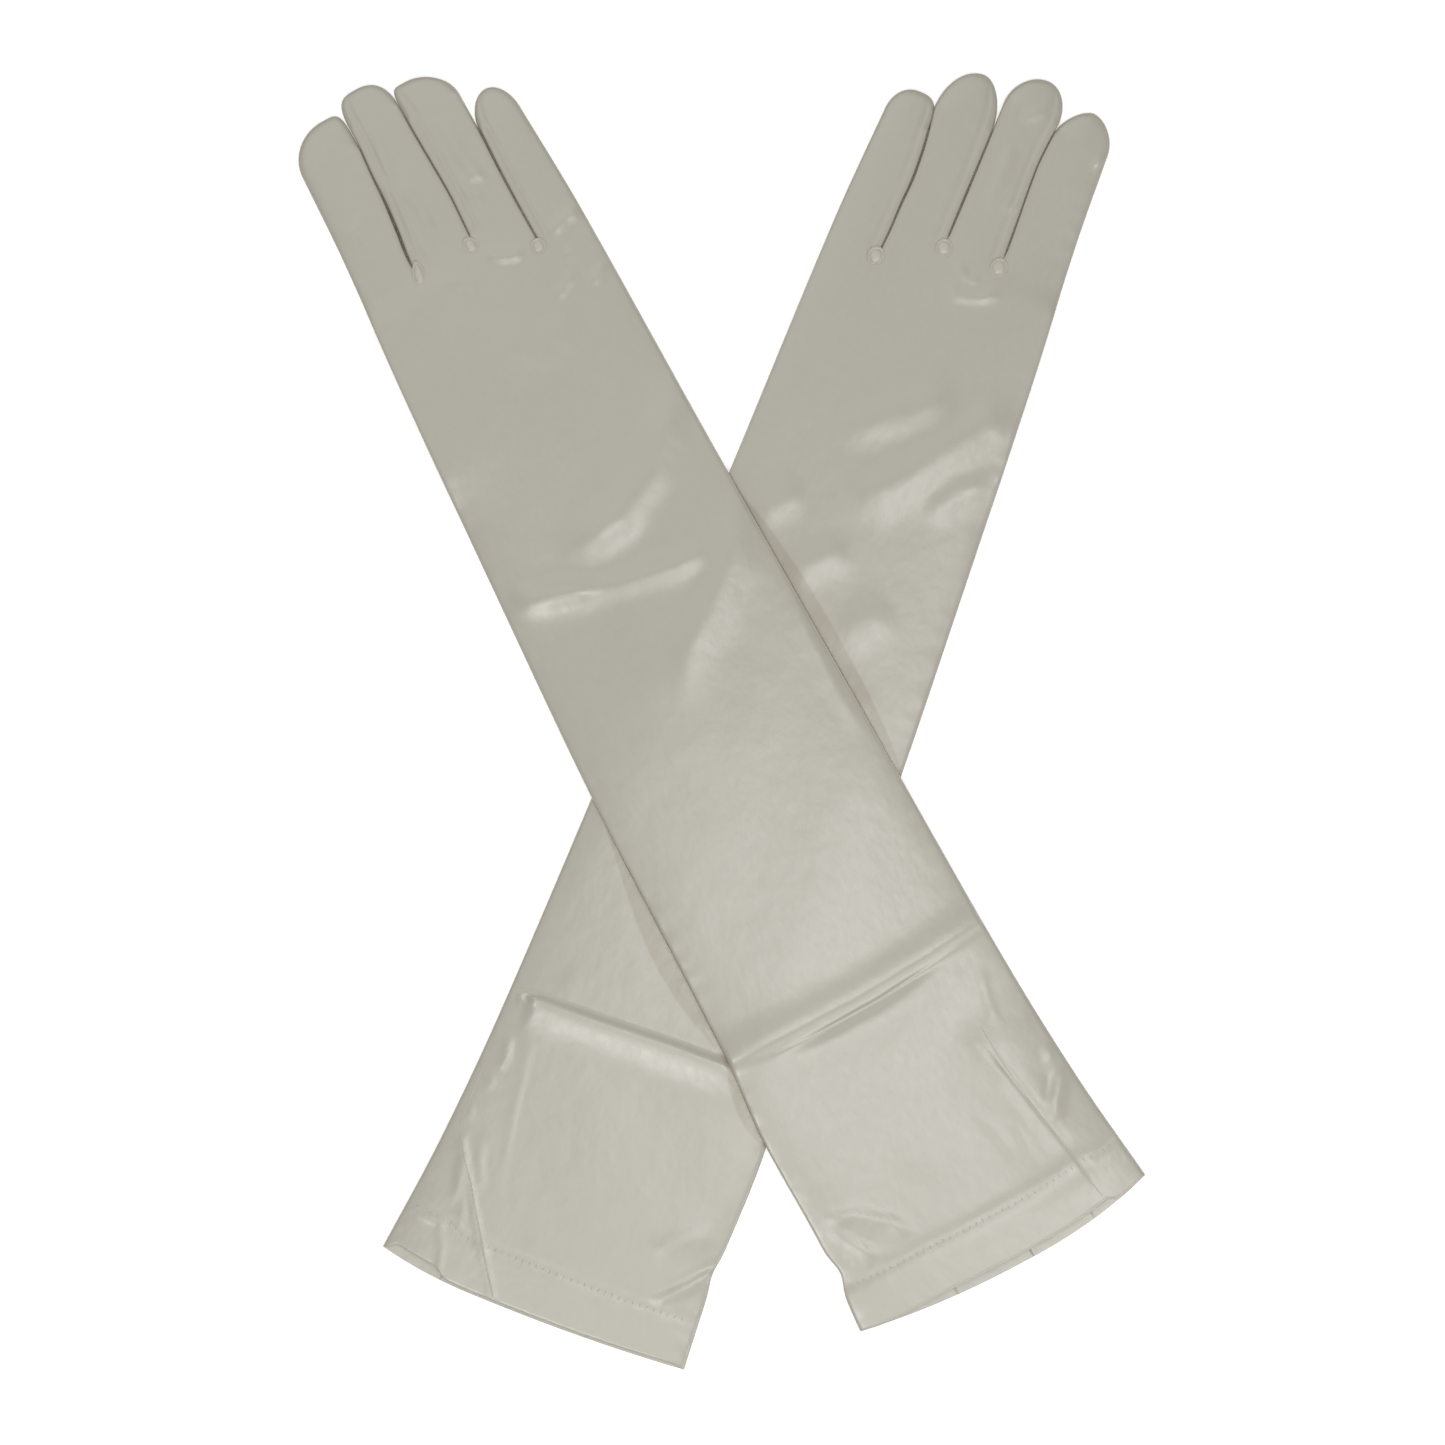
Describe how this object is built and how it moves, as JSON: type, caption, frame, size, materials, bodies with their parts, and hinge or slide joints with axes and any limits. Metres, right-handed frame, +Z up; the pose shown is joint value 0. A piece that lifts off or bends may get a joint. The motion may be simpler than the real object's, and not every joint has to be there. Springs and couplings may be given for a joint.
{
  "type": "opera gloves",
  "caption": "Pair of opera-length satin gloves lying palm down and crossed, with set-in thumbs, fourchettes between the fingers and a turned-up hem.",
  "frame": {"origin": "on the surface the pair lies on, under the middle of the pair's box", "axes": "+Z up from the surface; +Y towards the fingertips of both gloves; +X to the right, seen from above with the fingers away"},
  "size_m": [0.3582, 0.5458, 0.0133],
  "materials": {
    "satin": "ivory stretch satin, soft sheen",
    "fourchette": "ivory satin strip between the fingers",
    "seam": "ivory satin edge with ivory thread",
    "hem": "ivory satin, doubled and stitched"
  },
  "bodies": {
    "left_glove": {"left_back_panel": "satin", "left_palm_panel": "satin", "left_index_side_fold": "seam", "left_little_side_seam": "seam", "left_hem_back": "hem", "left_hem_palm": "hem", "left_index_middle_crotch": "fourchette", "left_middle_ring_crotch": "fourchette", "left_ring_little_crotch": "fourchette"},
    "left_index_finger": {"left_index_back": "satin", "left_index_palm": "satin", "left_index_fourchette": "fourchette", "left_index_fold": "seam"},
    "left_middle_finger": {"left_middle_back": "satin", "left_middle_palm": "satin", "left_middle_fourchette_ring_side": "fourchette", "left_middle_fourchette_index_side": "fourchette"},
    "left_ring_finger": {"left_ring_back": "satin", "left_ring_palm": "satin", "left_ring_fourchette_little_side": "fourchette", "left_ring_fourchette_middle_side": "fourchette"},
    "left_little_finger": {"left_little_back": "satin", "left_little_palm": "satin", "left_little_seam": "seam", "left_little_fourchette": "fourchette"},
    "left_thumb": {"left_thumb_outer": "satin", "left_thumb_inner": "satin", "left_thumb_seam": "seam"},
    "right_glove": {"right_back_panel": "satin", "right_palm_panel": "satin", "right_index_side_fold": "seam", "right_little_side_seam": "seam", "right_hem_back": "hem", "right_hem_palm": "hem", "right_index_middle_crotch": "fourchette", "right_middle_ring_crotch": "fourchette", "right_ring_little_crotch": "fourchette"},
    "right_index_finger": {"right_index_back": "satin", "right_index_palm": "satin", "right_index_fourchette": "fourchette", "right_index_fold": "seam"},
    "right_middle_finger": {"right_middle_back": "satin", "right_middle_palm": "satin", "right_middle_fourchette_ring_side": "fourchette", "right_middle_fourchette_index_side": "fourchette"},
    "right_ring_finger": {"right_ring_back": "satin", "right_ring_palm": "satin", "right_ring_fourchette_little_side": "fourchette", "right_ring_fourchette_middle_side": "fourchette"},
    "right_little_finger": {"right_little_back": "satin", "right_little_palm": "satin", "right_little_seam": "seam", "right_little_fourchette": "fourchette"},
    "right_thumb": {"right_thumb_outer": "satin", "right_thumb_inner": "satin", "right_thumb_seam": "seam"}
  },
  "joints": [
    {"name": "right_glove_lift", "type": "slide", "parent": "left_glove", "child": "right_glove", "axis": [0, 0, 1], "range_m": [0, 0.12]},
    {"name": "left_index_finger_fold", "type": "hinge", "parent": "left_glove", "child": "left_index_finger", "pos_m": [0.13231, 0.18966, 0.0064], "axis": [0.9258, -0.378, 0], "range_deg": [0, 80]},
    {"name": "left_middle_finger_fold", "type": "hinge", "parent": "left_glove", "child": "left_middle_finger", "pos_m": [0.10785, 0.19965, 0.0064], "axis": [0.9258, -0.378, 0], "range_deg": [0, 80]},
    {"name": "left_ring_finger_fold", "type": "hinge", "parent": "left_glove", "child": "left_ring_finger", "pos_m": [0.0848, 0.20906, 0.0064], "axis": [0.9258, -0.378, 0], "range_deg": [0, 80]},
    {"name": "left_little_finger_fold", "type": "hinge", "parent": "left_glove", "child": "left_little_finger", "pos_m": [0.05704, 0.20419, 0.0064], "axis": [0.9258, -0.378, 0], "range_deg": [0, 80]},
    {"name": "left_thumb_swing", "type": "hinge", "parent": "left_glove", "child": "left_thumb", "pos_m": [0.10585, 0.11405, 0.0015], "axis": [0, 0, -1], "range_deg": [0, 55]},
    {"name": "right_index_finger_fold", "type": "hinge", "parent": "right_glove", "child": "right_index_finger", "pos_m": [-0.14024, 0.18588, 0.0064], "axis": [0.8766, 0.4811, 0], "range_deg": [0, 80]},
    {"name": "right_middle_finger_fold", "type": "hinge", "parent": "right_glove", "child": "right_middle_finger", "pos_m": [-0.11708, 0.19859, 0.0064], "axis": [0.8766, 0.4811, 0], "range_deg": [0, 80]},
    {"name": "right_ring_finger_fold", "type": "hinge", "parent": "right_glove", "child": "right_ring_finger", "pos_m": [-0.09525, 0.21057, 0.0064], "axis": [0.8766, 0.4811, 0], "range_deg": [0, 80]},
    {"name": "right_little_finger_fold", "type": "hinge", "parent": "right_glove", "child": "right_little_finger", "pos_m": [-0.06712, 0.2089, 0.0064], "axis": [0.8766, 0.4811, 0], "range_deg": [0, 80]},
    {"name": "right_thumb_swing", "type": "hinge", "parent": "right_glove", "child": "right_thumb", "pos_m": [-0.10533, 0.11378, 0.0015], "axis": [0, 0, 1], "range_deg": [0, 55]}
  ]
}
